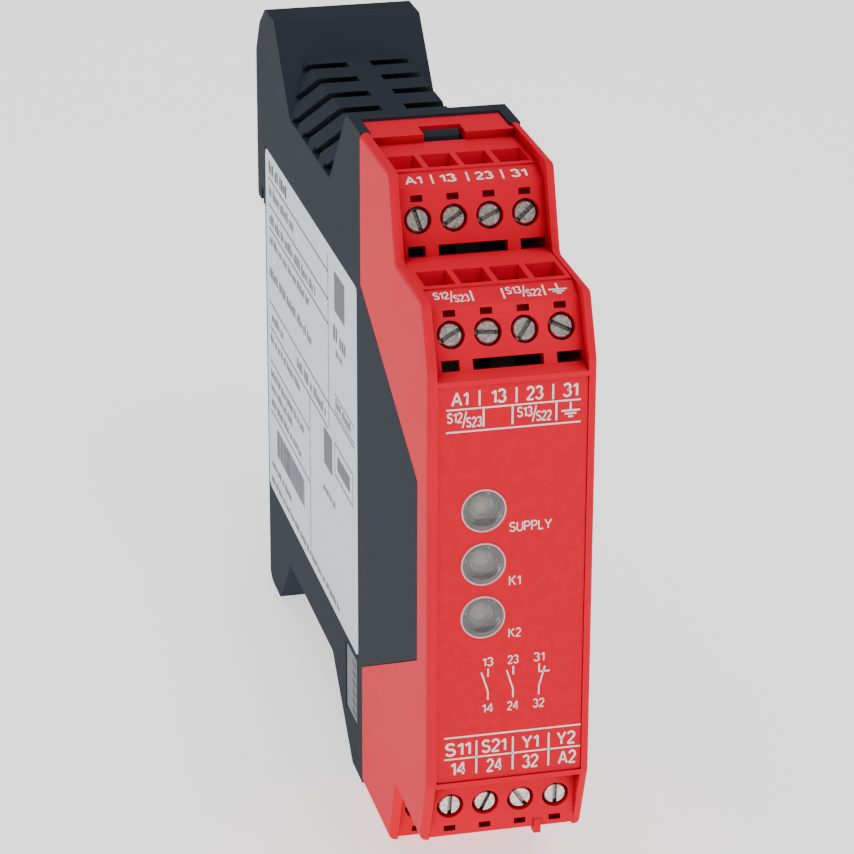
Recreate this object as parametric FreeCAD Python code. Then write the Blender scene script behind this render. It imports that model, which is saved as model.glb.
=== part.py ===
import FreeCAD, Part
import math
import os
from FreeCAD import Matrix, Placement, Vector

# Safety relay in a 22.5 mm wide housing for a 35 mm DIN rail.
# Build frame, millimetres: x across the width, d = depth behind the front plane,
# h = height above the lowest edge.  export() moves the origin to the middle of the
# rail seat: X right, Y to the rear, Z up.

# ---- driving dimensions -------------------------------------------------------------
WIDTH = 22.5
HEIGHT = 99.0
DEPTH = 114.0
HALF_W = WIDTH / 2
MID_H = HEIGHT / 2

RAIL_WIDTH = 35.0            # top-hat rail, over its two flanges
RAIL_SHEET = 1.2             # room for the rail's flange, 1 mm sheet
SEAT_D = 110.0               # plane that sits on the rail's flanges
HOOK_H = 66.0                # tip of the fixed upper hook
HOOK_GRIP = 2.2              # how far the flange slot runs up behind the hook

WALL = 1.3
CHEEK = 1.2                  # side walls of cover and housing
INNER_X = HALF_W - CHEEK
GAP = 0.1                    # clearance between fitted mouldings

# ---- front cover --------------------------------------------------------------------
PITCH = 4.9                  # terminal pitch
TERMINAL_X = [(i - 1.5) * PITCH for i in range(4)]
JOINT_D = 40.0               # where the cover's side walls meet the housing
# side walls' stepped edge, depth, height and corner radius; the lower one is measured up
# from the lowest edge and ends in pointed feet
UPPER_EDGE = [(22.3, 99.0, 1.2), (18.4, 87.75, 0.8), (3.7, 87.8, 1.2), (0.0, 79.4, 1.2)]
LOWER_EDGE = [(0.0, 19.8, 1.2), (3.5, 9.9, 0.5), (18.4, 10.5, 0.8), (22.2, 0.0, 0.4)]
RIDGE_RUN = 3.9              # sloped strip with the terminal numbers
PLATE_STEP_D = 38.6          # front edge of the top plate
PLATE_H = 98.6
PLATE_HALF = 9.65            # half width of the plate between the housing's trim
PLATE_END = {1: 45.8, -1: 44.0}
TONGUE = [(JOINT_D, 77.2), (5.9, 61.9), (5.9, 36.2), (JOINT_D, 18.8)]

# ---- terminals, measured along the screw axis from the screw face ---------------------
HEAD_R = 1.55
HEAD_HOLE_R = 1.85
HEAD_AT = 0.3
HEAD_LENGTH = 2.0
SHANK_R = 1.1
SCREW_TIP = 6.3
SLOT_WIDTH = 0.6
SLOT_DEPTH = 0.8
BAR_THICK = 0.7
CAGE_PLATE = 0.8
CAGE_TOP = 4.4               # near plate of the open clamp cage
CAGE_LENGTH = 5.45
CAGE_HALF_X = 2.1
CAGE_HALF_Y = 1.9
CAGE_SIDE = 0.55
BLOCK_END = 10.4
WIRE_AT = 8.1                # middle of the open clamp

# ---- terminal rows -----------------------------------------------------------------------
# edge: outer edge of the screw face; tilt: of the face from upright, degrees; window, screw
# and slot: places down the face from that edge; rise: of the numbered strip behind the edge;
# foot_h: where the front plane starts; comb: depth of the walls between the wire funnels.
# Lower rows are turned over: their heights are measured down from the top level.
ROWS = {
    1: dict(rear=dict(edge=(23.55, 96.15), tilt=18.6, window=1.3, screw=4.15, slot=8.3,
                      rise=1.35),
            front=dict(edge=(5.3, 86.25), tilt=23.8, window=0.9, screw=3.65, slot=7.65,
                       rise=1.35),
            foot_h=78.4, comb=4.0),
    -1: dict(rear=dict(edge=(21.7, 98.2), tilt=4.0, window=1.05, screw=4.5, slot=None,
                       rise=-0.2),
             front=dict(edge=(3.0, 88.35), tilt=4.0, window=1.15, screw=4.65, slot=None,
                        rise=-0.3),
             foot_h=80.05, comb=1.6),
}
# marking of each terminal, left to right, and the angle its screw slot stands at
TERMINALS = [
    ("rear", 1, [("a1", 75), ("13", -32), ("23", -24), ("31", -40)]),
    ("front", 1, [("s12", -28), ("spare", 4), ("s13", -52), ("earth", 28)]),
    ("rear", -1, [("s11", 15), ("s21", 62), ("y1", -38), ("y2", 80)]),
    ("front", -1, [("14", 88), ("24", 66), ("32", -56), ("a2", 90)]),
]

# ---- front label and indicators ---------------------------------------------------------
LABEL_X = (-9.9, 10.1)
LABEL_H = (20.2, 77.2)
LABEL_SINK = 0.5
LABEL_THICK = 0.25
LENS_X = -3.7
LENS_H = [59.5, 51.85, 44.2]
LENS_R = 2.95
LENS_HOLE_R = 3.05

# ---- housing ---------------------------------------------------------------------------
TRIM_END_D = 48.6            # rear edge of the raised front part, top
VALLEY_H = 86.06             # lower edge of the louvred valley on the sides
VALLEY_FRONT_D = 59.9
VALLEY_REAR_D = 88.0
BLOCK_FRONT_D = 99.5         # rear hook block
BLOCK_H = 98.0
DECK_H = 93.2                # louvred deck
DECK_HALF = 7.6
LOUVRE_PITCH = 7.4
LOUVRE_GAP = 2.4
LOUVRE_LEAN = 9.8            # louvres lean forward by this on the valley's sides
LOUVRE_FIRST_D = 92.0
LOUVRE_ROWS = 6
SPINE_HALF = 1.75
BODY_H = 11.8                # underside between front leg and rear foot
FOOT_H = 2.4

# ---- rail latch --------------------------------------------------------------------------
LATCH_HALF = 4.5
LATCH_D = (105.8, 109.6)
LATCH_FLANGE = 1.0
LATCH_TRAVEL = 3.0
LATCH_LOW = 3.0
SPRING_LOW = 14.0
SPRING_HIGH = 24.0
SPRING_R = 1.35
SPRING_WIRE_R = 0.25
SPRING_TURNS = 6


# ---- helpers -------------------------------------------------------------------------------
def polygon(points, x=0.0):
    return Part.Face(Part.makePolygon([Vector(x, d, h) for d, h in points + points[:1]]))


def prism(points, x0, x1):
    """Side-view outline of (depth, height) points, extruded across the width."""
    return polygon(points, x0).extrude(Vector(x1 - x0, 0, 0))


def block(x0, x1, d0, d1, h0, h1):
    return Part.makeBox(x1 - x0, d1 - d0, h1 - h0, Vector(x0, d0, h0))


def rod(x, d, h, radius, length, axis=Vector(0, 1, 0)):
    return Part.makeCylinder(radius, length, Vector(x, d, h), axis)


def fuse(shapes):
    return shapes[0].fuse(shapes[1:]).removeSplitter() if len(shapes) > 1 else shapes[0]


def cut(shape, tools):
    return shape.cut(tools) if tools else shape


def flip(shape):
    """Mirror about mid height."""
    return shape.mirror(Vector(0, 0, MID_H), Vector(0, 0, 1))


def both(shape):
    return [shape, flip(shape)]


def rounded_prism(corners, x0, x1):
    """Prism from (depth, height, corner radius) points."""
    edges = []
    count = len(corners)
    spots = [Vector(x0, d, h) for d, h, _ in corners]
    ends = []
    for i, (_, _, radius) in enumerate(corners):
        here, before, after = spots[i], spots[i - 1], spots[(i + 1) % count]
        if radius == 0:
            ends.append((here, here))
            continue
        to_before = (before - here).normalize()
        to_after = (after - here).normalize()
        half = to_before.getAngle(to_after) / 2
        reach = radius / math.tan(half)
        start = here + to_before * reach
        end = here + to_after * reach
        bisector = (to_before + to_after).normalize()
        middle = here + bisector * (radius / math.sin(half) - radius)
        ends.append((start, end))
        edges.append((i, Part.Arc(start, middle, end).toShape()))
    arcs = dict(edges)
    loop = []
    for i in range(count):
        if i in arcs:
            loop.append(arcs[i])
        loop.append(Part.LineSegment(ends[i][1], ends[(i + 1) % count][0]).toShape())
    return Part.Face(Part.Wire(loop)).extrude(Vector(x1 - x0, 0, 0))


def frustum(x0, x1, d0, d1, h_top, inner, h_low):
    """Square funnel: a wide rectangle at h_top, the inner rectangle at h_low."""
    ix0, ix1, id0, id1 = inner
    wide = Part.makePolygon([Vector(x, d, h_top) for x, d in
                             ((x0, d0), (x1, d0), (x1, d1), (x0, d1), (x0, d0))])
    narrow = Part.makePolygon([Vector(x, d, h_low) for x, d in
                               ((ix0, id0), (ix1, id0), (ix1, id1), (ix0, id1), (ix0, id0))])
    return Part.makeLoft([wide, narrow], True, True)


def fillet_where(shape, radius, test):
    """Round the edges whose middle point passes the test."""
    chosen = [e for e in shape.Edges if test(e)]
    return shape.makeFillet(radius, chosen)


# ---- terminal rows ----------------------------------------------------------------------------
def slope(row):
    """Unit vectors of a row's screw face: down the face, and out of it (depth, height)."""
    tilt = math.radians(row["tilt"])
    down = (-math.sin(tilt), -math.cos(tilt))
    return down, (down[1], -down[0])


def on_face(row, s, inward=0.0):
    """Point s down the screw face from its edge, and so far inwards."""
    down, normal = slope(row)
    return (row["edge"][0] + down[0] * s - normal[0] * inward,
            row["edge"][1] + down[1] * s - normal[1] * inward)


def face_at_height(row, h):
    """Depth of the screw face at height h."""
    down, _ = slope(row)
    d0, h0 = row["edge"]
    return d0 + down[0] * (h - h0) / down[1]


def seat(shape, row, x, s):
    """Place a shape made in a terminal's own frame: z into the face, y down it."""
    down, normal = slope(row)
    d0, h0 = on_face(row, s)
    frame = Matrix(1, 0, 0, x,
                   0, down[0], -normal[0], d0,
                   0, down[1], -normal[1], h0,
                   0, 0, 0, 1)
    placed = shape.copy()
    placed.Placement = Placement(frame) * shape.Placement
    return placed


def ridge(row):
    return row["edge"][0] + RIDGE_RUN, row["edge"][1] + row["rise"]


# ---- front cover --------------------------------------------------------------------------------
def centre_outline(side):
    """Line of the cover between its side walls, from the plate's rear end to mid height."""
    half = ROWS[side]
    rear, front = half["rear"], half["front"]
    rear_ridge, front_ridge = ridge(rear), ridge(front)
    foot_h = half["foot_h"]
    return [
        (PLATE_END[side], PLATE_H), (PLATE_STEP_D, PLATE_H), (PLATE_STEP_D, rear_ridge[1]),
        rear_ridge, rear["edge"],
        (face_at_height(rear, front_ridge[1]), front_ridge[1]), front_ridge, front["edge"],
        (face_at_height(front, foot_h), foot_h), (0.0, foot_h - 0.5), (0.0, MID_H),
    ]


def inset_line(points, distance):
    """Move an open line of points to its rear and lower side by a distance."""
    moved = []
    for i, here in enumerate(points):
        sides = []
        for a, b in ((i - 1, i), (i, i + 1)):
            if a < 0 or b >= len(points):
                continue
            run, drop = points[b][0] - points[a][0], points[b][1] - points[a][1]
            length = math.hypot(run, drop)
            sides.append((-drop / length, run / length))
        if len(sides) == 1:
            sides = sides * 2
        (n0d, n0h), (n1d, n1h) = sides
        dot = n0d * n1d + n0h * n1h
        scale = distance / (1 + dot)
        moved.append((here[0] + (n0d + n1d) * scale, here[1] + (n0h + n1h) * scale))
    return moved


def half_centre(side):
    """One half of the cover between its side walls: stepped skin, plate and comb."""
    half = ROWS[side]
    line = centre_outline(side)
    parts = [prism(line + inset_line(line, WALL)[::-1], -INNER_X, INNER_X)]
    tools = [snap_window(half)]
    for x in (-PLATE_HALF - 2, PLATE_HALF):      # plate narrows between the housing's trim
        tools.append(block(x, x + 2, JOINT_D - GAP, PLATE_END[side] + 1, 95, HEIGHT))
    for row in (half["rear"], half["front"]):
        down, _ = slope(row)
        ridge_d, ridge_h = ridge(row)
        low_h = ridge_h - half["comb"]
        parts.append(block(-INNER_X, INNER_X, ridge_d - 0.6, ridge_d + 7.0, low_h, ridge_h))
        wire_d, wire_h = on_face(row, row["screw"], WIRE_AT)
        hole_d = wire_d + (low_h - wire_h) * down[0] / down[1]
        for x in TERMINAL_X:
            inner = (x - 1.3, x + 1.3, hole_d - 1.2, hole_d + 1.2)
            tools.append(frustum(x - 2.05, x + 2.05, ridge_d + 0.5, ridge_d + 5.9,
                                 ridge_h + 0.01, inner, low_h + 0.7))
            tools.append(block(*inner, low_h - 0.5, low_h + 0.8))
            head_hole = Part.makeCylinder(HEAD_HOLE_R, WALL + 1.0, Vector(0, 0, -0.5))
            tools.append(seat(head_hole, row, x, row["screw"]))
            window = Part.makeBox(1.6, 0.85, 1.3, Vector(-0.8, -0.42, -0.5))
            tools.append(seat(window, row, x, row["window"]))
        if row["slot"]:
            for x0, x1 in ((-8.95, -6.6), (-4.8, 4.6), (6.4, 9.85)):
                slit = Part.makeBox(x1 - x0, 1.4, 3.5, Vector(0, -0.7, -0.5))
                tools.append(seat(slit, row, x0, row["slot"]))
    shape = cut(fuse(parts), tools)
    return shape if side > 0 else flip(shape)


def cheek(side):
    """Side wall of the cover, notched for the housing's tongue, outer edges rounded."""
    x0, x1 = sorted((side * INNER_X, side * HALF_W))
    d_end = JOINT_D - GAP
    corners = [(d_end, HEIGHT, 0)] + UPPER_EDGE + LOWER_EDGE + [(d_end, 0.0, 0)]
    wall = rounded_prism(corners, x0, x1)

    def outer_front(edge):
        box = edge.BoundBox
        on_side = abs(box.XMin - side * HALF_W) < 1e-3 and abs(box.XMax - side * HALF_W) < 1e-3
        return on_side and box.YMin < d_end - 0.5
    wall = fillet_where(wall, 0.8, outer_front)
    (d0, h0), (d1, h1), (d2, h2), (d3, h3) = TONGUE
    notch = [(d0 + 1, h0 + 0.45 + GAP), (d1 - GAP, h1 + GAP), (d2 - GAP, h2 - GAP),
             (d3 + 1, h3 - 0.5 - GAP)]
    return wall.cut(prism(notch, x0 - 1, x1 + 1))


def snap_window(half):
    """Opening in the plate, running down its front step, for the housing's snap lug."""
    level = ridge(half["rear"])[1]
    through = block(-2.6, 3.2, PLATE_STEP_D + 0.1, 42.2, level - WALL, HEIGHT + 1)
    return block(-2.6, 3.2, PLATE_STEP_D - 1, 42.2, level, HEIGHT + 1).fuse(through)


def front_cover():
    body = fuse([cheek(-1), cheek(1), half_centre(1), half_centre(-1)])
    label_pocket = block(LABEL_X[0], LABEL_X[1], -1, LABEL_SINK, *LABEL_H)
    lens_holes = [rod(LENS_X, -1, h, LENS_HOLE_R, WALL + 2) for h in LENS_H]
    rib = prism([(3.2, 12.4), (2.7, 11.6), (2.7, 9.7), (3.9, 9.6), (7.0, 11.0), (7.0, 12.4)],
                PITCH - 0.5, PITCH + 0.5)
    return fuse([cut(body, [label_pocket] + lens_holes), rib])


def front_label():
    depth = LABEL_SINK - LABEL_THICK
    sheet = block(LABEL_X[0] + 0.05, LABEL_X[1] - 0.05, depth, LABEL_SINK,
                  LABEL_H[0] + 0.05, LABEL_H[1] - 0.05)
    corners = [e for e in sheet.Edges if abs(e.BoundBox.YLength - LABEL_THICK) < 0.001]
    sheet = sheet.makeFillet(0.4, corners)
    return cut(sheet, [rod(LENS_X, -1, h, LENS_HOLE_R, 3) for h in LENS_H])


# ---- housing ---------------------------------------------------------------------------------------
def at_slope(foot, head, h):
    """Depth at height h on the line from foot to head."""
    return foot[0] + (head[0] - foot[0]) * (h - foot[1]) / (head[1] - foot[1])


FRONT_SLOPE = ((VALLEY_FRONT_D, VALLEY_H), (TRIM_END_D, HEIGHT))
REAR_SLOPE = ((VALLEY_REAR_D, VALLEY_H), (BLOCK_FRONT_D, BLOCK_H))


def housing_outline():
    lip_d = SEAT_D + RAIL_SHEET
    slot_h = HOOK_H + HOOK_GRIP
    return [
        (JOINT_D, HEIGHT, 0), (TRIM_END_D, HEIGHT, 0.4),
        (at_slope(*FRONT_SLOPE, DECK_H), DECK_H, 0), (at_slope(*REAR_SLOPE, DECK_H), DECK_H, 0),
        (BLOCK_FRONT_D, BLOCK_H, 0.5), (106.5, BLOCK_H, 1.5), (111.0, 94.7, 2.0),
        (DEPTH, 89.6, 2.0), (DEPTH, HOOK_H, 0.8), (lip_d, HOOK_H, 0.4), (lip_d, slot_h, 0),
        (SEAT_D - 0.3, slot_h, 0), (SEAT_D - 0.3, HOOK_H, 0), (SEAT_D, HOOK_H, 0),
        (SEAT_D, FOOT_H, 4.5), (100.2, FOOT_H, 0.8), (91.8, BODY_H, 0), (60.2, BODY_H, 0),
        (46.6, 0.0, 0.4), (JOINT_D, 0.0, 0),
    ]


def valley():
    """Space above the louvred valley, between its two end slopes."""
    top_h = HEIGHT + 6
    front = at_slope(*FRONT_SLOPE, top_h)
    rear = at_slope(*REAR_SLOPE, top_h)
    return prism([(VALLEY_FRONT_D, VALLEY_H), (VALLEY_REAR_D, VALLEY_H), (rear, top_h),
                  (front, top_h)], -HALF_W - 1, HALF_W + 1)


def wedge(side, shift, d0, d1):
    """Space outside the valley's bevel on one side; shift moves the bevel inwards."""
    run, drop = HALF_W - DECK_HALF, DECK_H - VALLEY_H
    length = math.hypot(run, drop)
    step_x, step_h = drop / length * shift, run / length * shift
    low = (HALF_W - step_x, VALLEY_H - step_h)
    high = (DECK_HALF - step_x, DECK_H - step_h)
    reach = 3.0 / drop
    high = (high[0] - run * reach, high[1] + drop * reach)
    pts = [low, (HALF_W + 2, low[1]), (HALF_W + 2, high[1]), high]
    wire = Part.makePolygon([Vector(side * x, d0, h) for x, h in pts + pts[:1]])
    return Part.Face(wire).extrude(Vector(0, d1 - d0, 0))


def louvre_cutters():
    """Leaning slots in two columns, each with a flat toe at the valley's edge."""
    space = valley()
    cutters = []
    over = 1.5
    drop = DECK_H - VALLEY_H
    for i in range(LOUVRE_ROWS):
        rear = LOUVRE_FIRST_D - i * LOUVRE_PITCH
        high = rear - LOUVRE_LEAN * over / drop
        low = rear + LOUVRE_LEAN
        slab = [(high, DECK_H + over), (low, VALLEY_H), (low - LOUVRE_GAP, VALLEY_H),
                (high - LOUVRE_GAP, DECK_H + over)]
        toe = block(HALF_W - 1.3, HALF_W + 1, low - 4.2, low, VALLEY_H, VALLEY_H + 0.8)
        column = prism(slab, SPINE_HALF, HALF_W + 1).fuse(toe).common(space)
        cutters += [column, column.mirror(Vector(0, 0, 0), Vector(1, 0, 0))]
    return [c for c in cutters if c.Volume > 0.1]


def housing_cavity():
    deck_in = DECK_H - WALL
    room = prism([(JOINT_D - 2, 97.4), (47.8, 97.4), (at_slope(*FRONT_SLOPE, deck_in) - 1.0, deck_in),
                  (107.9, deck_in), (107.9, 37.0), (102.0, 37.0), (102.0, BODY_H + 1.6),
                  (60.9, BODY_H + 1.6), (46.9, 1.6), (JOINT_D - 2, 1.6)], -INNER_X, INNER_X)
    spared = [wedge(side, WALL, 47.0, 112.0) for side in (-1, 1)]
    return cut(room, spared)


def latch_channel():
    d0, d1 = LATCH_D[0] - GAP, DEPTH + 2
    lip_h = MID_H - RAIL_WIDTH / 2
    slot = block(-LATCH_HALF - GAP, LATCH_HALF + GAP, d0, d1, -1, lip_h + 2.2)
    groove = block(-LATCH_HALF - LATCH_FLANGE - GAP, LATCH_HALF + LATCH_FLANGE + GAP,
                   LATCH_D[0] + 1.0 - GAP, LATCH_D[0] + 2.2 + GAP, -1, lip_h - 2.0)
    return [slot, groove]


def base_housing():
    shell = rounded_prism(housing_outline(), -HALF_W, HALF_W)
    bevels = [wedge(side, 0, 40, 105).common(valley()) for side in (-1, 1)]
    shell = cut(shell, bevels)
    edge = 1.6                                   # chamfers beside the rail seat
    for side in (-1, 1):
        tri = [Vector(side * x, d, -1) for x, d in
               ((HALF_W, SEAT_D - edge), (HALF_W + 1, SEAT_D - edge), (HALF_W + 1, SEAT_D + 1),
                (HALF_W - edge, SEAT_D + 1), (HALF_W - edge, SEAT_D))]
        shell = shell.cut(Part.Face(Part.makePolygon(tri + tri[:1])).extrude(
            Vector(0, 0, HOOK_H + 1)))
    shell = cut(shell, [housing_cavity()] + louvre_cutters() + latch_channel())
    bay = PLATE_HALF + GAP
    tools = [block(-bay, bay, JOINT_D - 1, PLATE_END[1] + GAP, 96.9, HEIGHT + 1),
             block(-bay, bay, JOINT_D - 1, PLATE_END[-1] + GAP, -1, HEIGHT - 96.9)]
    for i in range(4):                           # air slots in the underside
        d = 65.0 + i * 6.6
        tools += [block(side * 5.7 - 3.9, side * 5.7 + 3.9, d, d + 2, BODY_H - 1, BODY_H + 3)
                  for side in (-1, 1)]
    shell = cut(shell, tools)
    added = []
    for side in (-1, 1):
        x0, x1 = sorted((side * INNER_X, side * HALF_W))
        (d0, h0), near, far, (d3, h3) = TONGUE
        added.append(prism([(d0 + 1.5, h0 + 0.67), near, far, (d3 + 1.5, h3 - 0.75)], x0, x1))
    for lug in both(prism([(40.1, 97.7), (40.1, 96.8), (43.0, 96.0), (47.4, 96.0), (47.4, 97.6),
                           (46.1, 97.6), (46.1, 97.1), (42.0, 97.1), (41.7, 98.2),
                           (40.6, 98.2)], -2.1, 2.7)):
        added.append(lug)
    peg = block(-1.7, 1.7, LATCH_D[0] - 1, LATCH_D[1] - 0.6, SPRING_LOW - 1.8, SPRING_LOW)
    added.append(peg)
    shell = fuse([shell] + added)
    pocket = block(-HALF_W - 1, -HALF_W + 0.2, 42.4, 108.1, 18.9, 75.8)
    tag_pocket = block(-HALF_W - 1, -HALF_W + 0.2, 43.3, 50.2, 7.7, 18.0)
    groove = block(-HALF_W - 1, -HALF_W + 0.5, 50.4, 50.9, 7.0, 18.2)
    return cut(shell, [pocket, tag_pocket, groove])


def side_sheet(d0, d1, h0, h1, radius):
    sheet = block(-HALF_W + 0.05, -HALF_W + 0.2, d0, d1, h0, h1)
    corners = [e for e in sheet.Edges if abs(e.BoundBox.XLength - 0.15) < 0.001]
    return sheet.makeFillet(radius, corners)


# ---- rail latch ---------------------------------------------------------------------------------------
def rail_latch():
    d0, d1 = LATCH_D
    lip_h = MID_H - RAIL_WIDTH / 2
    lip_d = SEAT_D + RAIL_SHEET
    side_view = [(d0, LATCH_LOW), (d1, LATCH_LOW), (d1, 24.5), (112.9, 27.8), (112.9, 31.0),
                 (112.0, lip_h + 1.3), (lip_d, lip_h + 1.3), (lip_d, lip_h - 0.1),
                 (d0, lip_h - 0.1)]
    slider = prism(side_view, -LATCH_HALF, LATCH_HALF)
    flanges = block(-LATCH_HALF - LATCH_FLANGE, LATCH_HALF + LATCH_FLANGE, d0 + 1.0, d0 + 2.2,
                    LATCH_LOW + 3, lip_h - 2.2)
    window = block(-1.9, 1.9, d0 - 1, d1 + 1, SPRING_LOW - 5.2, SPRING_HIGH)
    slot = block(-2.6, 2.6, d0 - 1, d1 + 1, LATCH_LOW + 1.6, LATCH_LOW + 3.4)
    return cut(fuse([slider, flanges]), [window, slot])


def latch_spring():
    """Compression spring that pushes the latch up to the rail."""
    low = SPRING_LOW + SPRING_WIRE_R + 0.02
    high = SPRING_HIGH - SPRING_WIRE_R - 0.02
    helix = Part.makeHelix((high - low) / SPRING_TURNS, high - low, SPRING_R)
    section = Part.Wire(Part.makeCircle(SPRING_WIRE_R, Vector(SPRING_R, 0, 0), Vector(0, 1, 0)))
    coil = Part.Wire(helix).makePipeShell([section], True, True)
    coil.translate(Vector(0, (LATCH_D[0] + LATCH_D[1]) / 2 - 0.1, low))
    return coil


# ---- terminals --------------------------------------------------------------------------------------------
def terminal_screw(angle):
    head = Part.makeCylinder(HEAD_R, HEAD_LENGTH, Vector(0, 0, HEAD_AT))
    rim = [e for e in head.Edges if abs(e.BoundBox.ZMax - HEAD_AT) < 1e-3 and e.Length > 3]
    head = head.makeChamfer(0.18, rim)
    slot = Part.makeBox(4, SLOT_WIDTH, SLOT_DEPTH + 1, Vector(-2, -SLOT_WIDTH / 2, HEAD_AT - 1))
    shank = Part.makeCylinder(SHANK_R, SCREW_TIP - HEAD_AT - 0.5, Vector(0, 0, HEAD_AT + 0.5))
    tip = [e for e in shank.Edges if abs(e.BoundBox.ZMin - SCREW_TIP) < 1e-3 and e.Length > 3]
    shank = shank.makeChamfer(0.3, tip)
    screw = head.cut(slot).fuse(shank).removeSplitter()
    screw.rotate(Vector(0, 0, 0), Vector(0, 0, 1), angle)
    return screw


def clamp_cage():
    """Rising cage: near plate on the screw's thread, far plate under the wire."""
    frame = Part.makeBox(2 * CAGE_HALF_X, 2 * CAGE_HALF_Y, CAGE_LENGTH,
                         Vector(-CAGE_HALF_X, -CAGE_HALF_Y, CAGE_TOP))
    frame = frame.makeFillet(0.4, [e for e in frame.Edges
                                   if abs(e.BoundBox.YLength - 2 * CAGE_HALF_Y) < 1e-3])
    opening = Part.makeBox(2 * (CAGE_HALF_X - CAGE_SIDE), 4 * CAGE_HALF_Y,
                           CAGE_LENGTH - 2 * CAGE_PLATE,
                           Vector(-(CAGE_HALF_X - CAGE_SIDE), -2 * CAGE_HALF_Y,
                                  CAGE_TOP + CAGE_PLATE))
    thread = Part.makeCylinder(SHANK_R + 0.05, 3, Vector(0, 0, CAGE_TOP - 1))
    return cut(frame, [opening, thread])


def contact_bar():
    half = CAGE_HALF_X - CAGE_SIDE - 0.1
    return Part.makeBox(2 * half, 4.3, BAR_THICK, Vector(-half, -1.7, SCREW_TIP + 0.05))


def terminal_block():
    """Insulating block of four chambers behind a row of screws."""
    start = WALL + 0.02
    body = Part.makeBox(2 * INNER_X - 0.1, 5.2, BLOCK_END - start,
                        Vector(-INNER_X + 0.05, -2.5, start))
    tab = Part.makeBox(3.3, 2.4, 3.4, Vector(-1.9, 2.5, 2.6))      # seen in the middle slot
    tools = []
    for x in TERMINAL_X:
        tools.append(Part.makeCylinder(HEAD_HOLE_R, 1.6, Vector(x, 0, start - 0.5)))
        tools.append(Part.makeBox(2 * CAGE_HALF_X + 0.1, 2 * CAGE_HALF_Y + 0.1, 7.75,
                                  Vector(x - CAGE_HALF_X - 0.05, -CAGE_HALF_Y - 0.05, 2.35)))
        tools.append(Part.makeBox(2.6, 3.0, 2.3, Vector(x - 1.3, -4.0, 6.9)))
        tools.append(Part.makeBox(3.0, 3.0, BAR_THICK + 0.1, Vector(x - 1.5, 1.0, SCREW_TIP)))
    return cut(body.fuse(tab), tools)


# ---- inside --------------------------------------------------------------------------------------------------
BOARD_X = 6.6
BOARD_THICK = 1.6


def main_board():
    outline = [(9.0, 30.0), (9.0, 69.0), (38.0, 69.0), (38.0, 79.0), (60.0, 81.0), (98.0, 81.0),
               (100.5, 78.0), (100.5, 20.0), (97.0, 16.0), (62.0, 16.0), (52.0, 20.0),
               (38.0, 20.0), (38.0, 30.0)]
    return prism(outline, BOARD_X, BOARD_X + BOARD_THICK)


def front_board():
    board = block(-9.4, 9.4, 6.6, 8.2, 31.0, 68.0)
    return board.cut(block(BOARD_X - 0.1, BOARD_X + BOARD_THICK + 0.1, 6, 9, 40.0, 58.0))


def relay(d, h):
    """Force-guided relay: sealed case with a stepped foot, its pins in the board."""
    case = block(-6.6, BOARD_X - 0.6, d, d + 29.0, h, h + 26.0)
    case = case.makeFillet(0.8, [e for e in case.Edges if abs(e.BoundBox.XLength - 12.6) < 0.01])
    foot = block(BOARD_X - 0.62, BOARD_X, d + 1, d + 28.0, h + 1, h + 25.0)
    rim = block(-6.7, -6.2, d + 3, d + 26.0, h + 3, h + 23.0)
    return fuse([case, foot, rim])


def transformer(d, h):
    """Laminated core round a bobbin with two windings."""
    core = block(-7.8, 4.6, d, d + 26.0, h, h + 24.0)
    windows = [block(-9, 6, d + 4.2, d + 9.4, h + 4.2, h + 19.8),
               block(-9, 6, d + 16.6, d + 21.8, h + 4.2, h + 19.8)]
    bobbin = block(-8.2, BOARD_X - 0.02, d + 4.3, d + 21.7, h + 4.6, h + 19.4)
    bobbin = bobbin.cut(block(-6.4, 3.2, d + 3, d + 23, h + 6.2, h + 17.8))
    winding = block(-6.4, 3.2, d + 4.8, d + 21.2, h + 6.2, h + 17.8)
    core = cut(core, windows)
    return fuse([core, bobbin.cut(core), winding])


def capacitor(d, h, radius, length):
    can = rod(BOARD_X - 0.02, d, h, radius, length, Vector(-1, 0, 0))
    can = can.makeFillet(0.6, [e for e in can.Edges if e.BoundBox.XMin < BOARD_X - length
                               and e.Length > 6])
    groove = Part.makeTorus(radius + 0.25, 0.5, Vector(BOARD_X - 2.2, d, h), Vector(1, 0, 0))
    return can.cut(groove)


def lens(h):
    """Clear indicator cap: domed face, shoulder behind the cover's wall, hollow stem."""
    cap = rod(LENS_X, 0.1, h, LENS_R, 2.6)
    rim = [e for e in cap.Edges if e.BoundBox.YMax < 0.11 and e.Length > 10]
    cap = cap.makeFillet(0.35, rim)
    dish = Part.makeSphere(7.0, Vector(LENS_X, 0.62 - 7.0, h)).common(
        rod(LENS_X, -1, h, LENS_R - 0.75, 4))
    stem = rod(LENS_X, 2.6, h, LENS_R - 0.35, 1.0)
    bore = rod(LENS_X, 1.5, h, 1.75, 3)
    return cut(fuse([cap, stem]), [dish, bore])


def led(h):
    base = rod(LENS_X, 5.6, h, 1.9, 0.98)
    body = rod(LENS_X, 3.4, h, 1.5, 2.3)
    dome = Part.makeSphere(1.5, Vector(LENS_X, 3.4, h))
    return fuse([base, body, dome])


# ---- export -----------------------------------------------------------------------------------------------------
def export(name, shape):
    shape = shape.copy()
    shape.translate(Vector(0, -SEAT_D, -MID_H))
    if not shape.isValid():
        print("invalid shape:", name)
    shape.exportStep("parts/" + name + ".step")


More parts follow.
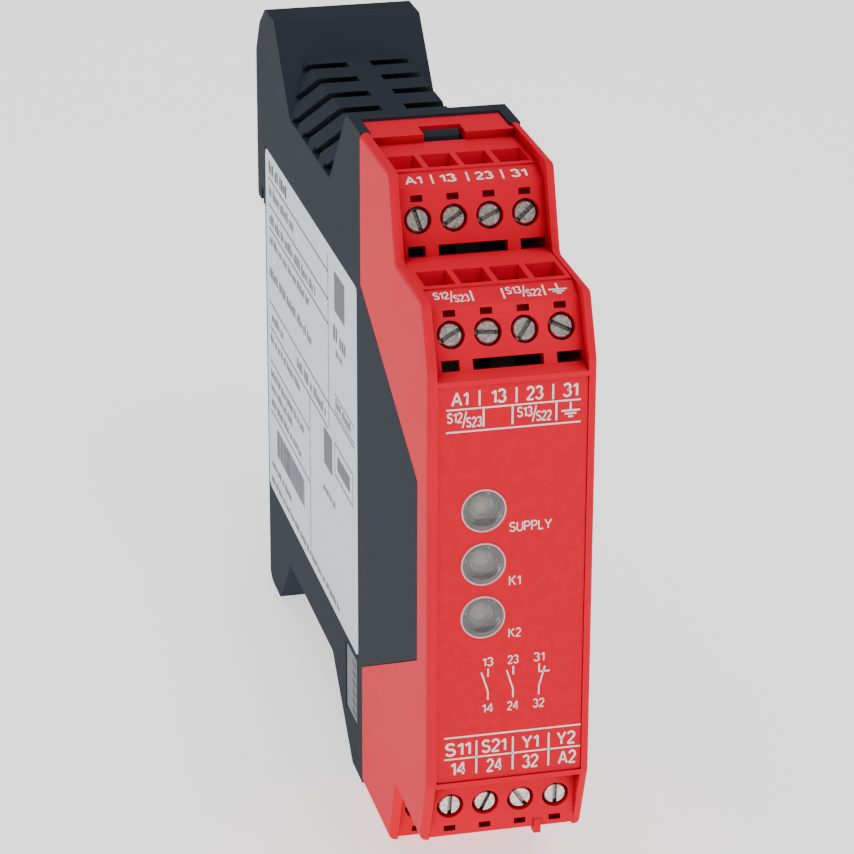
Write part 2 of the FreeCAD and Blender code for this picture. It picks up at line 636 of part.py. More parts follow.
def build():
    os.makedirs("parts", exist_ok=True)
    export("front_cover", front_cover())
    export("front_label", front_label())
    export("base_housing", base_housing())
    export("side_label", side_sheet(42.5, 108.0, 19.0, 75.7, 1.5))
    export("code_label", side_sheet(43.4, 50.1, 7.8, 17.9, 0.5))
    export("rail_latch", rail_latch())
    export("latch_spring", latch_spring())
    export("main_board", main_board())
    export("front_board", front_board())
    export("relay_k1", relay(64.0, 54.0))
    export("relay_k2", relay(34.0, 38.0))
    export("transformer", transformer(70.0, 22.0))
    export("capacitor_large", capacitor(47.0, 74.0, 5.0, 12.5))
    export("capacitor_small", capacitor(46.0, 28.0, 4.0, 11.0))
    for i, h in enumerate(LENS_H):
        name = ("supply", "k1", "k2")[i]
        export("lens_" + name, lens(h))
        export("led_" + name, led(h))
    bars = []
    for kind, side, markings in TERMINALS:
        row = ROWS[side][kind]

        def put(shape, x):
            placed = seat(shape, row, x, row["screw"])
            return placed if side > 0 else flip(placed)
        level = "upper" if side > 0 else "lower"
        export("terminal_block_" + level + "_" + kind, put(terminal_block(), 0))
        for x, (marking, angle) in zip(TERMINAL_X, markings):
            export("screw_" + marking, put(terminal_screw(angle), x))
            export("clamp_" + marking, put(clamp_cage(), x))
            bars.append(put(contact_bar(), x))
    export("contact_bars", Part.makeCompound(bars))


build()
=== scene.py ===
import math
import random

import bmesh
import bpy
from mathutils import Matrix, Vector


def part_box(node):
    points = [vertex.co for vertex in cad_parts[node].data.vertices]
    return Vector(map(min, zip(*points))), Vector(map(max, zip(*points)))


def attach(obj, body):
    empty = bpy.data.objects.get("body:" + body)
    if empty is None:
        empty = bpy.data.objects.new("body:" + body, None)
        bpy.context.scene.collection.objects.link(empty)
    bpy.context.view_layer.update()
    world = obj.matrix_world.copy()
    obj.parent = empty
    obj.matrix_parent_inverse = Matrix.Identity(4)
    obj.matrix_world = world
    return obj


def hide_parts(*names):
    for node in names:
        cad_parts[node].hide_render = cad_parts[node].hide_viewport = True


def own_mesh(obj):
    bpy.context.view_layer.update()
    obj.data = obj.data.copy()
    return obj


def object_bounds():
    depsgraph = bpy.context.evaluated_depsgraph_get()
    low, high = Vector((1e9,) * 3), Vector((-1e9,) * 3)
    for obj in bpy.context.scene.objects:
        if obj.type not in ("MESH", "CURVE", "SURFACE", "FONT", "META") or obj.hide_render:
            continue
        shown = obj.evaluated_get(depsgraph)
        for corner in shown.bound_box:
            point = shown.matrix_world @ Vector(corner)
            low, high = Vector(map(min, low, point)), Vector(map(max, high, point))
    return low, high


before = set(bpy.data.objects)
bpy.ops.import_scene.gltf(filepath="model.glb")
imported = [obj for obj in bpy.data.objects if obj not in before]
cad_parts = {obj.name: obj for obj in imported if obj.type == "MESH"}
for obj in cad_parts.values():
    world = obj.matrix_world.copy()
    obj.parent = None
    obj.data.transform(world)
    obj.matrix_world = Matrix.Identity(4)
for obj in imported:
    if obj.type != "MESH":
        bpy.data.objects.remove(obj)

CAD_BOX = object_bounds()
MM = 0.001

# The relay is laid out in millimetres: x across, d back from the front plane,
# h up from the lowest edge.  The CAD box gives where that corner lies.
FRONT_Y = CAD_BOX[0][1]
BASE_Z = CAD_BOX[0][2]
FINE = 0.02                      # thickness of printed ink


def at(x, d, h):
    return Vector((x * MM, FRONT_Y + d * MM, BASE_Z + h * MM))


# ---- materials ------------------------------------------------------------------------
def new_material(name):
    mat = bpy.data.materials.new(name)
    mat.use_nodes = True
    tree = mat.node_tree
    return mat, tree, tree.nodes["Principled BSDF"]


def node(tree, kind, **sockets):
    made = tree.nodes.new(kind)
    for key, value in sockets.items():
        made.inputs[key.replace("_", " ")].default_value = value
    return made


def place_coords(tree, stretch=(1, 1, 1)):
    """Coordinates that stay with the object, stretched along its own axes."""
    coords = tree.nodes.new("ShaderNodeTexCoord")
    mapping = tree.nodes.new("ShaderNodeMapping")
    mapping.inputs["Scale"].default_value = stretch
    tree.links.new(coords.outputs["Object"], mapping.inputs["Vector"])
    return mapping.outputs["Vector"]


def noise(tree, coords, scale, detail=3.0, rough=0.5):
    made = node(tree, "ShaderNodeTexNoise", Scale=scale, Detail=detail, Roughness=rough)
    tree.links.new(coords, made.inputs["Vector"])
    return made.outputs["Fac"]


def ramp(tree, factor, low, high, start=0.3, end=0.7):
    """Colour between low and high as factor runs from start to end."""
    made = tree.nodes.new("ShaderNodeValToRGB")
    made.color_ramp.elements[0].position = start
    made.color_ramp.elements[0].color = (*low, 1)
    made.color_ramp.elements[1].position = end
    made.color_ramp.elements[1].color = (*high, 1)
    tree.links.new(factor, made.inputs["Fac"])
    return made.outputs["Color"]


def spread(tree, factor, low, high):
    made = node(tree, "ShaderNodeMapRange", To_Min=low, To_Max=high)
    tree.links.new(factor, made.inputs["Value"])
    return made.outputs["Result"]


def bump(tree, shader, factor, strength, distance):
    made = node(tree, "ShaderNodeBump", Strength=strength, Distance=distance)
    tree.links.new(factor, made.inputs["Height"])
    tree.links.new(made.outputs["Normal"], shader.inputs["Normal"])


def shade(colour, amount):
    return tuple(min(1.0, channel * amount) for channel in colour)


def paint_hollow_shade(tree, face, dark, reach, low, high):
    """Face colour with painted shade: it turns dark in hollows of the same piece, seen up to reach away.

    low and high are the face's share where a hollow is closed and where it is open.
    """
    hollow = node(tree, "ShaderNodeAmbientOcclusion", Distance=reach)
    hollow.only_local = True
    hollow.samples = 4
    mix = tree.nodes.new("ShaderNodeMix")
    mix.data_type = "RGBA"
    mix.inputs["A"].default_value = (*dark, 1)
    tree.links.new(spread(tree, hollow.outputs["AO"], low, high), mix.inputs["Factor"])
    tree.links.new(face, mix.inputs["B"])
    return mix.outputs["Result"]


def moulded(name, colour, rough=0.45, grain=9000, depth=0.25, gloss=0.3, vary=0.03, hollow_shade=None):
    """Injection-moulded plastic: spark-eroded grain and faint flow marks, and painted shade in its own
    hollows when a shade colour is given.
    """
    mat, tree, shader = new_material(name)
    coords = place_coords(tree)
    flow = noise(tree, coords, 110, 2.0)
    fine = noise(tree, coords, grain, 2.0, 0.6)
    tint = ramp(tree, flow, shade(colour, 1 - vary), shade(colour, 1 + vary))
    # painted shade: with a shade colour given, the piece's own hollows turn towards it
    if hollow_shade:
        tint = paint_hollow_shade(tree, tint, hollow_shade, 3.5 * MM, -0.65, 1.35)
    tree.links.new(tint, shader.inputs["Base Color"])
    tree.links.new(spread(tree, flow, rough - 0.05, rough + 0.07), shader.inputs["Roughness"])
    bump(tree, shader, fine, depth, 0.03 * MM)
    shader.inputs["Specular IOR Level"].default_value = gloss
    return mat


def printed(name, colour, rough=0.35, gloss=0.2):
    """Printing ink or film: even colour with slight mottling and a smooth face."""
    mat, tree, shader = new_material(name)
    coords = place_coords(tree)
    mottle = noise(tree, coords, 700, 3.0)
    tree.links.new(ramp(tree, mottle, shade(colour, 0.95), shade(colour, 1.03)),
                   shader.inputs["Base Color"])
    tree.links.new(spread(tree, mottle, rough - 0.04, rough + 0.06), shader.inputs["Roughness"])
    shader.inputs["Specular IOR Level"].default_value = gloss
    return mat


def plated(name, colour, rough=0.32, stretch=(1, 1, 12), scale=2500):
    """Plated or turned metal with fine tool marks."""
    mat, tree, shader = new_material(name)
    coords = place_coords(tree, stretch)
    lines = noise(tree, coords, scale, 4.0, 0.7)
    blotch = noise(tree, place_coords(tree), 600, 2.0)
    tree.links.new(ramp(tree, blotch, shade(colour, 0.8), shade(colour, 1.08)),
                   shader.inputs["Base Color"])
    tree.links.new(spread(tree, lines, rough - 0.1, rough + 0.14), shader.inputs["Roughness"])
    bump(tree, shader, lines, 0.25, 0.02 * MM)
    shader.inputs["Metallic"].default_value = 1.0
    return mat


# colour of the painted shade in the screws' slots and hollows
SCREW_SLOT_SHADE = (0.045, 0.040, 0.038)


def stamped(name, colour):
    """Plated steel as it comes from the die: mottled and slightly dented, with painted shade in its slot
    and hollows.
    """
    mat, tree, shader = new_material(name)
    coords = place_coords(tree)
    dents = noise(tree, coords, 2600, 3.0, 0.65)
    face = ramp(tree, dents, shade(colour, 0.45), shade(colour, 1.35))
    face = paint_hollow_shade(tree, face, SCREW_SLOT_SHADE, 0.8 * MM, -0.6, 1.1)
    tree.links.new(face, shader.inputs["Base Color"])
    tree.links.new(spread(tree, dents, 0.22, 0.42), shader.inputs["Roughness"])
    bump(tree, shader, dents, 0.6, 0.08 * MM)
    shader.inputs["Metallic"].default_value = 1.0
    return mat


def clear(name, colour, rough=0.12, transmission=0.75):
    """Clear or tinted moulding with slight clouding."""
    mat, tree, shader = new_material(name)
    coords = place_coords(tree)
    cloud = noise(tree, coords, 900, 2.0)
    tree.links.new(ramp(tree, cloud, shade(colour, 0.93), colour), shader.inputs["Base Color"])
    tree.links.new(spread(tree, cloud, rough, rough + 0.08), shader.inputs["Roughness"])
    bump(tree, shader, noise(tree, coords, 3000, 2.0), 0.1, 0.02 * MM)
    shader.inputs["Transmission Weight"].default_value = transmission
    shader.inputs["IOR"].default_value = 1.49
    return mat


# the red plastic gets painted shade in its own hollows, such as the wire funnels and step corners
RED = moulded("red_plastic", (0.82, 0.001, 0.028), rough=0.48, gloss=0.03,
              hollow_shade=(0.20, 0.0, 0.008))
CHARCOAL = moulded("charcoal_plastic", (0.029, 0.036, 0.047), rough=0.58, depth=0.45, gloss=0.015,
                   vary=0.05)
LATCH_BLACK = moulded("latch_plastic", (0.022, 0.024, 0.027), rough=0.45)
BLOCK_GREY = moulded("terminal_block_plastic", (0.014, 0.016, 0.020), rough=0.5)
LABEL_RED = printed("red_film", (0.78, 0.001, 0.026), rough=0.45, gloss=0.04)
SILVER_FILM = printed("silver_film", (0.72, 0.81, 0.92), rough=0.42)
CODE_GREY = moulded("code_strip_plastic", (0.155, 0.175, 0.195), rough=0.55)
WHITE_INK = printed("white_ink", (0.96, 0.95, 0.96), rough=0.45)
DARK_INK = printed("dark_ink", (0.045, 0.05, 0.06), rough=0.5)
GREY_INK = printed("grey_ink", (0.11, 0.12, 0.14), rough=0.5)
SCREW_METAL = stamped("plated_screw", (0.70, 0.63, 0.59))
CLAMP_METAL = plated("plated_clamp", (0.62, 0.63, 0.64), rough=0.30)
BRASS = plated("contact_brass", (0.74, 0.58, 0.28), rough=0.28)
SPRING_METAL = plated("spring_wire", (0.50, 0.51, 0.53), rough=0.25)
LENS = clear("lens_plastic", (0.88, 0.85, 0.84), rough=0.02, transmission=0.90)
LENS_RIM = clear("lens_rim_plastic", (1.0, 0.62, 0.66), rough=0.16, transmission=0.1)
LED_BODY = moulded("led_epoxy", (0.66, 0.62, 0.57), rough=0.25, depth=0.05)
BOARD = moulded("solder_resist", (0.008, 0.045, 0.018), rough=0.30, grain=4000)
RELAY_CASE = moulded("relay_case_plastic", (0.62, 0.50, 0.30), rough=0.30, depth=0.05)
CORE = plated("core_sheets", (0.20, 0.19, 0.18), rough=0.5, stretch=(40, 1, 1), scale=300)
SLEEVE = moulded("capacitor_sleeve", (0.018, 0.020, 0.040), rough=0.25, depth=0.05)

NODE_MATERIALS = {
    "base_housing": CHARCOAL, "front_cover": RED, "front_label": LABEL_RED,
    "side_label": SILVER_FILM, "code_label": CODE_GREY, "rail_latch": LATCH_BLACK,
    "latch_spring": SPRING_METAL, "main_board": BOARD, "front_board": BOARD,
    "transformer": CORE, "contact_bars": BRASS,
}
PREFIX_MATERIALS = {
    "screw_": SCREW_METAL, "clamp_": CLAMP_METAL, "lens_": LENS, "led_": LED_BODY,
    "relay_": RELAY_CASE, "capacitor_": SLEEVE, "terminal_block_": BLOCK_GREY,
}


def dress_nodes():
    """Give each CAD node its material, by its name or by how the name starts."""
    for name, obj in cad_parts.items():
        mat = NODE_MATERIALS.get(name)
        for prefix, choice in PREFIX_MATERIALS.items():
            if name.startswith(prefix):
                mat = choice
        obj.data.materials.clear()
        obj.data.materials.append(mat)


# ---- lettering ------------------------------------------------------------------------------
def bend(x, y, rx, ry, start, end):
    """Points of an elliptical arc, angles in degrees."""
    steps = 10
    angles = [math.radians(start + (end - start) * i / steps) for i in range(steps + 1)]
    return [(x + rx * math.cos(a), y + ry * math.sin(a)) for a in angles]


# letter: width, centre lines of its strokes in a cell one unit high
GLYPHS = {
    "1": (0.26, [[(0.0, 0.74), (0.26, 0.94), (0.26, 0.0)]]),
    "2": (0.54, [bend(0.27, 0.72, 0.26, 0.28, 165, -30) + [(0.0, 0.0), (0.54, 0.0)]]),
    "3": (0.54, [bend(0.26, 0.77, 0.24, 0.23, 160, -80), bend(0.26, 0.27, 0.28, 0.27, 85, -160)]),
    "4": (0.60, [[(0.44, 0.0), (0.44, 1.0), (0.0, 0.30), (0.60, 0.30)]]),
    "A": (0.72, [[(0.0, 0.0), (0.36, 1.0), (0.72, 0.0)], [(0.14, 0.33), (0.58, 0.33)]]),
    "K": (0.60, [[(0.0, 0.0), (0.0, 1.0)], [(0.56, 1.0), (0.0, 0.40)], [(0.20, 0.60), (0.60, 0.0)]]),
    "L": (0.46, [[(0.0, 1.0), (0.0, 0.0), (0.46, 0.0)]]),
    "P": (0.54, [[(0.0, 0.0), (0.0, 1.0), (0.28, 1.0)] + bend(0.28, 0.73, 0.26, 0.27, 90, -90)[1:]
                 + [(0.0, 0.46)]]),
    "S": (0.56, [bend(0.28, 0.76, 0.26, 0.24, 25, 265) + bend(0.28, 0.26, 0.28, 0.26, 80, -160)]),
    "U": (0.58, [[(0.0, 1.0), (0.0, 0.30)] + bend(0.29, 0.29, 0.29, 0.29, 180, 360)
                 + [(0.58, 1.0)]]),
    "Y": (0.64, [[(0.0, 1.0), (0.32, 0.44), (0.64, 1.0)], [(0.32, 0.44), (0.32, 0.0)]]),
}


# ---- pieces ---------------------------------------------------------------------------------
def skin(mesh, pairs):
    """Four-sided faces between pairs of equal loops of corners."""
    for a, b in pairs:
        for j in range(len(a)):
            k = (j + 1) % len(a)
            mesh.faces.new((a[j], b[j], b[k], a[k]))


def add_piece(name, mesh, mat, smooth=False):
    """Make a piece of a finished bmesh; smooth shades its four-sided faces as round."""
    data = bpy.data.meshes.new(name)
    mesh.to_mesh(data)
    mesh.free()
    data.materials.append(mat)
    for face in data.polygons:
        face.use_smooth = smooth and len(face.vertices) == 4
    obj = bpy.data.objects.new(name, data)
    bpy.context.scene.collection.objects.link(obj)
    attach(obj, "housing")
    return obj


# ---- printing -----------------------------------------------------------------------------
def basis(origin, right, up):
    """Matrix that lays a flat drawing, in millimetres, on a face."""
    right, up = Vector(right).normalized(), Vector(up).normalized()
    out = right.cross(up)
    turn = Matrix((right, up, out)).transposed().to_4x4()
    return Matrix.Translation(Vector(origin)) @ turn @ Matrix.Scale(MM, 4)


class Print:
    """Marks of one ink on one flat face, gathered into a single thin mesh."""

    def __init__(self, name, matrix, ink, slot):
        self.name, self.matrix, self.ink, self.slot = name, matrix, ink, slot
        self.mesh = bmesh.new()

    def polygon(self, points):
        top = [self.mesh.verts.new((u, v, FINE)) for u, v in points]
        low = [self.mesh.verts.new((u, v, 0)) for u, v in points]
        self.mesh.faces.new(top)
        self.mesh.faces.new(low[::-1])
        for i in range(len(points)):
            j = (i + 1) % len(points)
            self.mesh.faces.new((low[i], low[j], top[j], top[i]))

    def bar(self, u0, u1, v0, v1):
        self.polygon([(u0, v0), (u1, v0), (u1, v1), (u0, v1)])

    def stroke(self, start, end, width):
        a, b = Vector(start), Vector(end)
        side = (b - a).normalized().orthogonal() * width / 2
        self.polygon([tuple(a - side), tuple(b - side), tuple(b + side), tuple(a + side)])

    def frame(self, u0, u1, v0, v1, line):
        self.bar(u0, u1, v0, v0 + line)
        self.bar(u0, u1, v1 - line, v1)
        self.bar(u0, u0 + line, v0 + line, v1 - line)
        self.bar(u1 - line, u1, v0 + line, v1 - line)

    def ribbon(self, points, width):
        """Band of even width along a run of points, mitred at its corners."""
        pairs = []
        for i, here in enumerate(points):
            ways = []
            if i > 0:
                ways.append((here - points[i - 1]).normalized())
            if i < len(points) - 1:
                ways.append((points[i + 1] - here).normalized())
            sides = [Vector((-way.y, way.x)) for way in ways]
            mitre = (sides[0] + sides[-1]) / (1 + sides[0].dot(sides[-1]))
            if mitre.length < 1.5:
                pairs.append((here + mitre * width / 2, here - mitre * width / 2))
                continue
            turn = ways[0].cross(ways[-1])
            for side in sides:                       # cut the point off a sharp corner
                outer = here - side * width / 2 * math.copysign(1, turn)
                inner = here + mitre.normalized() * width * 0.75 * math.copysign(1, turn)
                pairs.append((inner, outer) if turn > 0 else (outer, inner))
        self.band(pairs)

    def band(self, pairs):
        """Flat bar that runs through pairs of left and right edge points."""
        rows = []
        for left, right in pairs:
            rows.append([self.mesh.verts.new((p.x, p.y, z)) for p, z in
                         ((left, 0), (right, 0), (right, FINE), (left, FINE))])
        for a, b in zip(rows, rows[1:]):
            for j in range(4):
                k = (j + 1) % 4
                self.mesh.faces.new((a[j], a[k], b[k], b[j]))
        self.mesh.faces.new(rows[0][::-1])
        self.mesh.faces.new(rows[-1])

    def text(self, body, u0, u1, v0, v1, weight=0.2):
        """Lettering that fills the box u0..u1, v0..v1; weight: stroke over letter height."""
        runs = []
        pen = 0.0
        for letter in body:
            width, strokes = GLYPHS[letter]
            runs += [[Vector((pen + x, y)) for x, y in stroke] for stroke in strokes]
            pen += width + 0.22
        scale_u = (u1 - u0) / (pen - 0.22 + weight)
        scale_v = (v1 - v0) / (1 + weight)
        line = weight * (scale_u + scale_v) / 2
        for run in runs:
            self.ribbon([Vector((u0 + (p.x + weight / 2) * scale_u,
                                 v0 + (p.y + weight / 2) * scale_v)) for p in run], line)

    def finish(self):
        self.mesh.transform(self.matrix)
        add_piece(self.name, self.mesh, self.ink)


RULE = 0.21                      # long printed rules on the front
RULE_HALF = 0.12                 # half the width of the short upright rules
LINE = 0.20                      # strokes in the contact symbols


def earth_symbol(ink, u, v):
    """Protective earth: stem on v and three bars below it."""
    ink.bar(u - RULE_HALF, u + RULE_HALF, v, v + 1.05)
    for i, half in enumerate((1.24, 0.78, 0.32)):
        ink.bar(u - half, u + half, v - 0.42 * i - 0.24, v - 0.42 * i)


def rules(ink, places, low, high):
    """Short upright rules between terminal names."""
    for u in places:
        ink.bar(u - RULE_HALF, u + RULE_HALF, low, high)


def pair(ink, first, second, u, v):
    """Two terminal names that share a field, one above and one below a slash."""
    ink.text(first, u, u + 2.05, v + 0.65, v + 2.15, 0.17)
    ink.stroke((u + 2.08, v - 0.05), (u + 2.55, v + 2.15), 0.18)
    ink.text(second, u + 2.55, u + 4.6, v - 0.1, v + 1.4, 0.17)


def front_print():
    low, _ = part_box("front_label")
    face = Vector((0, low[1], BASE_Z))
    ink = Print("front_printing", basis(face, (1, 0, 0), (0, 0, 1)), WHITE_INK, "label_red")
    # upper table of terminals
    ink.bar(-8.8, 9.1, 73.85, 73.85 + RULE)
    ink.bar(-8.8, 9.1, 70.75, 70.75 + RULE)
    for body, u0, u1 in (("A1", -8.15, -5.9), ("13", -2.9, -0.85), ("23", 1.8, 4.05),
                         ("31", 6.65, 8.7)):
        ink.text(body, u0, u1, 74.4, 76.4, 0.17)
    rules(ink, (-4.4, 0.5, 5.37), 74.3, 76.4)
    rules(ink, (-3.85, 0.0, 5.85), 71.3, 73.8)
    pair(ink, "S12", "S23", -8.7, 71.45)
    pair(ink, "S13", "S22", 0.6, 71.5)
    earth_symbol(ink, 7.75, 72.65)
    # indicators
    ink.text("SUPPLY", -0.25, 5.5, 56.1, 57.5, 0.13)
    ink.text("K1", -0.2, 1.4, 48.4, 49.8, 0.13)
    ink.text("K2", -0.18, 1.55, 40.85, 42.2, 0.13)
    # contacts: two that close and one that opens
    for u, upper, lower, closes in ((-2.9, "13", "14", True), (0.55, "23", "24", True),
                                    (4.1, "31", "32", False)):
        ink.text(upper, u - 0.8, u + 0.7, 36.95, 38.25, 0.14)
        ink.text(lower, u - 0.8, u + 0.8, 30.1, 31.45, 0.14)
        ink.bar(u - LINE / 2, u + LINE / 2, 35.4, 36.6)
        ink.bar(u - LINE / 2, u + LINE / 2, 32.0, 33.3)
        if closes:
            ink.stroke((u, 33.25), (u - 0.9, 36.1), LINE)
        else:
            ink.bar(u, u + 1.45, 35.3, 35.3 + LINE)
            ink.stroke((u, 33.25), (u + 0.8, 36.15), LINE)
    # lower table of terminals
    ink.bar(-8.8, 10.0, 26.75, 26.75 + RULE)
    ink.bar(-8.8, 10.0, 23.55, 23.55 + RULE)
    for body, u0, u1 in (("S11", -8.75, -5.15), ("S21", -3.7, -0.3), ("Y1", 1.85, 4.2),
                         ("Y2", 6.7, 9.3)):
        ink.text(body, u0, u1, 24.1, 26.1, 0.17)
    for body, u0, u1 in (("14", -7.95, -5.8), ("24", -3.0, -0.8), ("32", 1.95, 4.2),
                         ("A2", 6.95, 9.45)):
        ink.text(body, u0, u1, 21.15, 23.2, 0.17)
    rules(ink, (-4.4, 0.63, 5.6), 21.2, 26.1)
    ink.finish()


# the sloped strips, each as its front edge and its ridge (d, h)
REAR_STRIP = (23.55, 96.15), (27.45, 97.5)
FRONT_STRIP = (5.3, 86.25), (9.2, 87.6)


def strip_print(name, edge, ridge, draw):
    """Printing on a sloped strip between the screw face and the wire openings."""
    run = Vector((0, ridge[0] - edge[0], ridge[1] - edge[1]))
    ink = Print(name, basis(at(0, *edge), (1, 0, 0), run), WHITE_INK, "cover_red")
    draw(ink)
    ink.finish()


def rear_strip(ink):
    for body, u0, u1 in (("A1", -8.45, -6.1), ("13", -3.75, -1.45), ("23", 1.1, 3.6),
                         ("31", 5.95, 8.25)):
        ink.text(body, u0, u1, 0.95, 2.65, 0.19)
    rules(ink, (-4.75, 0.1, 4.85), 0.8, 2.8)


def front_strip(ink):
    pair(ink, "S12", "S23", -8.85, 0.8)
    pair(ink, "S13", "S22", 0.75, 0.8)
    rules(ink, (-3.85, 0.3, 5.75), 0.7, 2.8)
    earth_symbol(ink, 7.6, 1.85)


# ---- side label ---------------------------------------------------------------------------
def side_basis(node_name):
    """Drawing on a label of the left side, from its upper rear corner: u forwards, v up."""
    low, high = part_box(node_name)
    return basis((low[0], high[1], high[2]), (0, -1, 0), (0, 0, 1))


def words(ink, u0, u1, v, height, seed):
    """A line of small print, as plain blocks the size of letters."""
    rng = random.Random(seed)
    u = u0
    while u < u1 - 1.2:
        for _ in range(rng.randint(2, 6)):
            letter = height * rng.uniform(0.34, 0.6)
            if u + letter > u1:
                break
            ink.bar(u, u + letter, v - height * rng.uniform(0.9, 1.0), v - height * rng.choice((0, 0.25)))
            u += letter + height * 0.2
        u += height * 0.45


SIDE_RULE = 0.28                 # rules of the side label's main table
SIDE_FINE = 0.20                 # rules of its small field


def side_print():
    ink = Print("side_rules", side_basis("side_label"), DARK_INK, "label_silver")
    for v, u0, u1 in ((-4.1, 2.4, 46.6), (-8.4, 2.4, 46.6), (-12.2, 2.4, 46.6),
                      (-24.6, 1.8, 63.6), (-28.7, 2.2, 45.5), (-34.4, 2.0, 32.2),
                      (-42.9, 2.0, 32.2)):
        ink.bar(u0, u1, v - SIDE_RULE, v)
    for u, v0, v1 in ((46.1, -28.7, -1.6), (32.2, -53.8, -28.7)):
        ink.bar(u, u + SIDE_RULE, v0, v1)
    for v in (-21.5, -24.0):
        ink.bar(50.3, 63.6, v - SIDE_FINE, v)
    words(ink, 2.7, 17.2, -1.3, 2.0, 1)
    ink.frame(50.0, 62.5, -34.4, -29.2, 0.25)
    ink.finish()

    soft = Print("side_fields", side_basis("side_label"), GREY_INK, "label_silver")
    for v, u0, u1, height, seed in (
            (-5.3, 2.7, 22.3, 1.7, 2), (-9.8, 2.7, 38.0, 1.7, 3), (-13.4, 2.7, 33.2, 1.4, 4),
            (-18.8, 2.4, 34.3, 1.6, 5), (-26.0, 3.6, 12.6, 1.5, 6), (-26.1, 23.2, 45.2, 1.7, 7),
            (-29.9, 2.4, 26.6, 1.3, 8), (-35.9, 2.4, 28.4, 1.2, 9), (-38.2, 2.4, 19.0, 1.2, 10),
            (-40.7, 2.4, 26.2, 1.2, 11), (-51.4, 2.3, 19.0, 1.2, 12), (-54.3, 1.8, 54.5, 1.1, 13),
            (-10.9, 49.7, 58.0, 2.4, 14), (-14.3, 51.3, 56.0, 1.0, 15),
            (-22.0, 51.0, 63.0, 1.5, 16), (-38.9, 42.0, 51.0, 1.0, 17)):
        words(soft, u0, u1, v, height, seed)
    soft.bar(50.6, 57.4, -8.6, -2.6)
    soft.bar(42.6, 48.4, -35.4, -29.6)
    soft.bar(52.0, 60.4, -33.0, -30.6)
    rng = random.Random(21)                      # stripes of uneven width, with no meaning
    u = 6.6
    while u < 27.4:
        width = rng.choice((0.18, 0.26, 0.4))
        soft.bar(u, u + width, -49.2, -44.6)
        u += width + rng.choice((0.12, 0.16, 0.24))
    soft.finish()


def code_print():
    """Six short bars up the code strip."""
    ink = Print("code_marks", side_basis("code_label"), DARK_INK, "label_silver")
    pitch, thickness = 1.55, 0.75
    for i in range(6):
        v = -0.9 - i * pitch
        ink.bar(3.6, 6.1, v - thickness, v)
    ink.finish()


# ---- indicators -----------------------------------------------------------------------------
# outline of the bright rim round a lens, as (radius, depth)
RIM_INNER, RIM_OUTER = 2.80, 3.03
RIM_FRONT, RIM_BACK = 0.02, 0.30
RIM_EDGE = 0.12
RIM_OUTLINE = [(RIM_INNER, RIM_BACK), (RIM_INNER, RIM_FRONT + RIM_EDGE),
               (RIM_INNER + 0.10, RIM_FRONT), (RIM_OUTER - RIM_EDGE, RIM_FRONT),
               (RIM_OUTER, RIM_FRONT + RIM_EDGE), (RIM_OUTER, RIM_BACK)]


def lens_rim(name):
    """Turned rim round the middle of an indicator's lens."""
    low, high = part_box("lens_" + name)
    x, h = (low[0] + high[0]) / 2 / MM, ((low[2] + high[2]) / 2 - BASE_Z) / MM
    steps = 64
    mesh = bmesh.new()
    loops = []
    for i in range(steps):
        turn = 2 * math.pi * i / steps
        loops.append([mesh.verts.new(at(x + r * math.cos(turn), d, h + r * math.sin(turn)))
                      for r, d in RIM_OUTLINE])
    skin(mesh, zip(loops, loops[1:] + loops[:1]))
    bmesh.ops.recalc_face_normals(mesh, faces=mesh.faces)
    add_piece("rim_" + name, mesh, LENS_RIM, smooth=True)


# ---- latch spring -------------------------------------------------------------------------------
SPRING_WIRE = 0.25               # radius of its wire
SPRING_TURNS = 6


def latch_coil():
    """Compression spring coiled up through the latch spring's box, in place of that part."""
    low, high = (Vector(corner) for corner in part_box("latch_spring"))
    wire = SPRING_WIRE * MM
    radius = (high.x - low.x) / 2 - wire
    foot = Vector(((low.x + high.x) / 2, (low.y + high.y) / 2, low.z))
    length = high.z - low.z
    steps, sides = 32 * SPRING_TURNS, 12
    up = Vector((0, 0, 1))
    mesh = bmesh.new()
    loops = []
    for i in range(steps + 1):
        turn = 2 * math.pi * SPRING_TURNS * i / steps
        out = Vector((math.cos(turn), math.sin(turn), 0))
        centre = foot + out * radius + up * (wire + (length - 2 * wire) * i / steps)
        angles = [2 * math.pi * j / sides for j in range(sides)]
        loops.append([mesh.verts.new(centre + wire * (math.cos(a) * out + math.sin(a) * up))
                      for a in angles])
    skin(mesh, zip(loops, loops[1:]))
    mesh.faces.new(loops[0][::-1])
    mesh.faces.new(loops[-1])
    bmesh.ops.recalc_face_normals(mesh, faces=mesh.faces)
    obj = add_piece("latch_spring_coil", mesh, SPRING_METAL, smooth=True)
    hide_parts("latch_spring")
    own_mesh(obj)


# ---- stage --------------------------------------------------------------------------------------
LEG_TIP = (46.6, 0.0)            # rear corner of the front leg (d, h)
HEEL = (105.0, 2.4)              # end of the rear foot
FLOOR_HALF = 3.0                 # metres


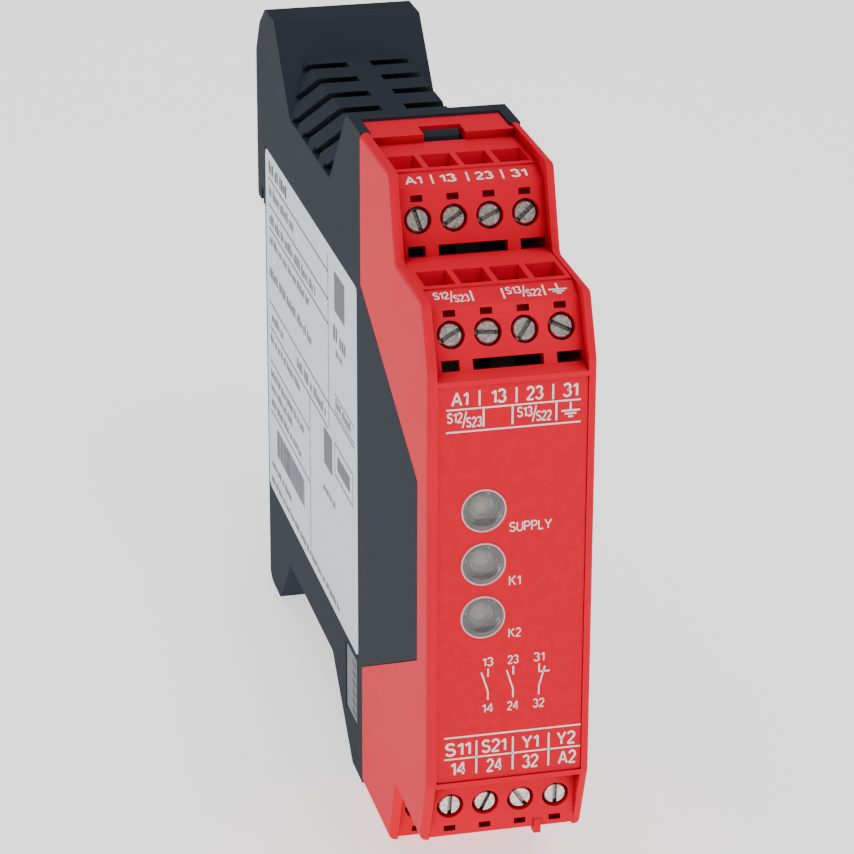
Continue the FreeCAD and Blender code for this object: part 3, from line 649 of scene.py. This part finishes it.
def floor():
    """Pale floor, leaned so that it touches the front leg and the end of the rear foot."""
    lean = Matrix.Rotation(math.atan2(HEEL[1] - LEG_TIP[1], HEEL[0] - LEG_TIP[0]), 4, "X")
    gap = Vector((0, 0, -0.02 * MM))
    corners = [Vector((x * FLOOR_HALF, y * FLOOR_HALF, 0))
               for x, y in ((-1, -1), (1, -1), (1, 1), (-1, 1))]
    data = bpy.data.meshes.new("floor")
    data.from_pydata([tuple(at(0, *LEG_TIP) + lean @ (corner + gap)) for corner in corners],
                     [], [(0, 1, 2, 3)])
    obj = bpy.data.objects.new("floor", data)
    bpy.context.scene.collection.objects.link(obj)
    mat, tree, shader = new_material("pale_floor")
    coords = place_coords(tree)
    tree.links.new(ramp(tree, noise(tree, coords, 6, 2.0), (0.90, 0.90, 0.90), (0.93, 0.93, 0.93)),
                   shader.inputs["Base Color"])
    shader.inputs["Roughness"].default_value = 0.9
    shader.inputs["Emission Color"].default_value = (1, 1, 1, 1)
    shader.inputs["Emission Strength"].default_value = 1.05
    data.materials.append(mat)


def area_light(name, position, size, power):
    """White softbox that faces the middle of the relay."""
    data = bpy.data.lights.new(name, "AREA")
    data.shape = "RECTANGLE"
    data.size, data.size_y = size
    data.energy = power
    obj = bpy.data.objects.new(name, data)
    obj.location = position
    way = Vector((0, -0.05, 0)) - Vector(position)
    obj.rotation_euler = way.to_track_quat("-Z", "Y").to_euler()
    bpy.context.scene.collection.objects.link(obj)


def lights():
    world = bpy.data.worlds.new("studio")
    world.use_nodes = True
    background = world.node_tree.nodes["Background"]
    background.inputs["Color"].default_value = (1, 1, 1, 1)
    background.inputs["Strength"].default_value = 0.38
    bpy.context.scene.world = world
    area_light("front_key", (0.10, -0.55, 0.85), (0.5, 0.5), 4.2)
    area_light("left_softbox", (-0.9, -0.35, 0.20), (0.6, 0.7), 1.2)
    area_light("top_softbox", (0.0, 0.2, 0.9), (0.8, 0.8), 2.4)


CAMERA_PLACE = (-0.111577, -0.524863, 0.198139)
CAMERA_ANGLES = (-13.577, 22.362, 0.193)         # azimuth, elevation and roll, in degrees
CAMERA_LENS = 151.95


def camera():
    """Camera at the angle from which the photograph was taken."""
    azimuth, elevation, roll = (math.radians(angle) for angle in CAMERA_ANGLES)
    back = Vector((math.sin(azimuth) * math.cos(elevation),
                   -math.cos(azimuth) * math.cos(elevation), math.sin(elevation)))
    right = Vector((0, 0, 1)).cross(back).normalized()
    up = back.cross(right)
    right, up = (right * math.cos(roll) + up * math.sin(roll),
                 up * math.cos(roll) - right * math.sin(roll))
    data = bpy.data.cameras.new("camera")
    data.sensor_width = 36
    data.lens = CAMERA_LENS
    data.clip_start = 0.01
    obj = bpy.data.objects.new("camera", data)
    turn = Matrix((right, up, back)).transposed().to_4x4()
    obj.matrix_world = Matrix.Translation(CAMERA_PLACE) @ turn
    bpy.context.scene.collection.objects.link(obj)
    bpy.context.scene.camera = obj


dress_nodes()
front_print()
strip_print("rear_strip_printing", *REAR_STRIP, rear_strip)
strip_print("front_strip_printing", *FRONT_STRIP, front_strip)
side_print()
code_print()
for indicator in ("supply", "k1", "k2"):
    lens_rim(indicator)
latch_coil()
floor()
lights()
camera()
